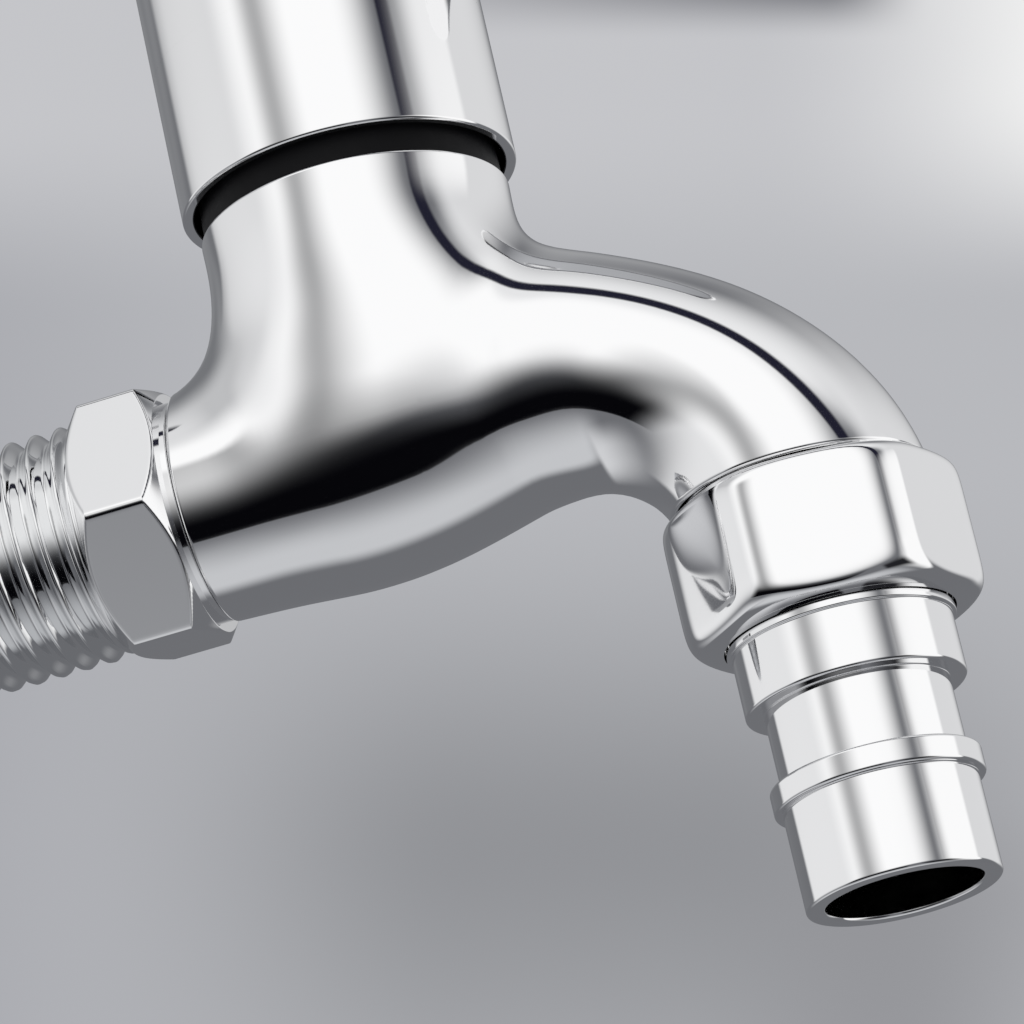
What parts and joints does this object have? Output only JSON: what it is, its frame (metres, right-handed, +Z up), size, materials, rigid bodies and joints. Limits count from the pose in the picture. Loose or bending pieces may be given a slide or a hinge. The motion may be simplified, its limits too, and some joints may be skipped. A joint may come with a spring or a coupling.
{
  "type": "washing machine tap",
  "caption": "Quarter-turn washing machine tap: chromed body with threaded inlet and curved spout, lever handle, and a stepped hose nozzle held by a union nut.",
  "frame": {"origin": "on the inlet axis, in the wall-side face of the inlet hexagon, where the inlet thread starts", "axes": "+X from the wall through the inlet towards the outlet, +Z up along the neck and handle axis, +Y to the left when looking from the wall"},
  "size_m": [0.0885, 0.0298, 0.1029],
  "materials": {
    "cast_chrome": "polished chrome over brass",
    "nipple_chrome": "chrome over a cut thread",
    "nut_chrome": "polished chrome, soft edges",
    "nozzle_chrome": "turned and chromed",
    "handle_chrome": "polished chrome over a zinc casting",
    "brass": "turned brass",
    "ceramic": "lapped ceramic",
    "seal_rubber": "soft matt rubber",
    "black_plastic": "dull black plastic",
    "white_plastic": "moulded white plastic",
    "steel": "plain stainless steel"
  },
  "bodies": {
    "tap_body": {"body": "cast_chrome", "inlet_nipple": "nipple_chrome", "nipple_o_ring": "seal_rubber", "cartridge_housing": "brass", "bonnet_washer": "seal_rubber", "skirt_ring": "black_plastic", "seat_seal": "seal_rubber", "seal_support_ring": "steel", "fixed_disc": "ceramic"},
    "handle_set": {"handle": "handle_chrome", "index_button": "handle_chrome", "spline_insert": "white_plastic", "handle_screw": "steel", "stem": "brass", "stem_o_rings": "seal_rubber", "thrust_washer": "white_plastic", "stop_plate": "steel", "circlip": "steel", "moving_disc": "ceramic"},
    "washer": {"nozzle_washer": "seal_rubber"},
    "nut": {"outlet_nut": "nut_chrome"},
    "nozzle": {"hose_nozzle": "nozzle_chrome"}
  },
  "joints": [
    {"name": "handle_turn", "type": "hinge", "parent": "tap_body", "child": "handle_set", "pos_m": [0.0273, 0, 0.03], "axis": [0, 0, 1], "range_deg": [0, 90]},
    {"name": "nut_travel", "type": "slide", "parent": "tap_body", "child": "washer", "axis": [0, 0, -1], "range_m": [0, 0.00363]},
    {"name": "nut_turn", "type": "hinge", "parent": "washer", "child": "nut", "pos_m": [0.05996, 0, -0.02], "axis": [0, 0, -1], "range_deg": [0, 720]},
    {"name": "nozzle_swivel", "type": "hinge", "parent": "washer", "child": "nozzle", "pos_m": [0.05996, 0, -0.02], "axis": [0, 0, -1], "continuous": true}
  ],
  "couplings": [
    {"joint": "nut_turn", "follows": "nut_travel", "rad_per_m": 3463.7}
  ]
}
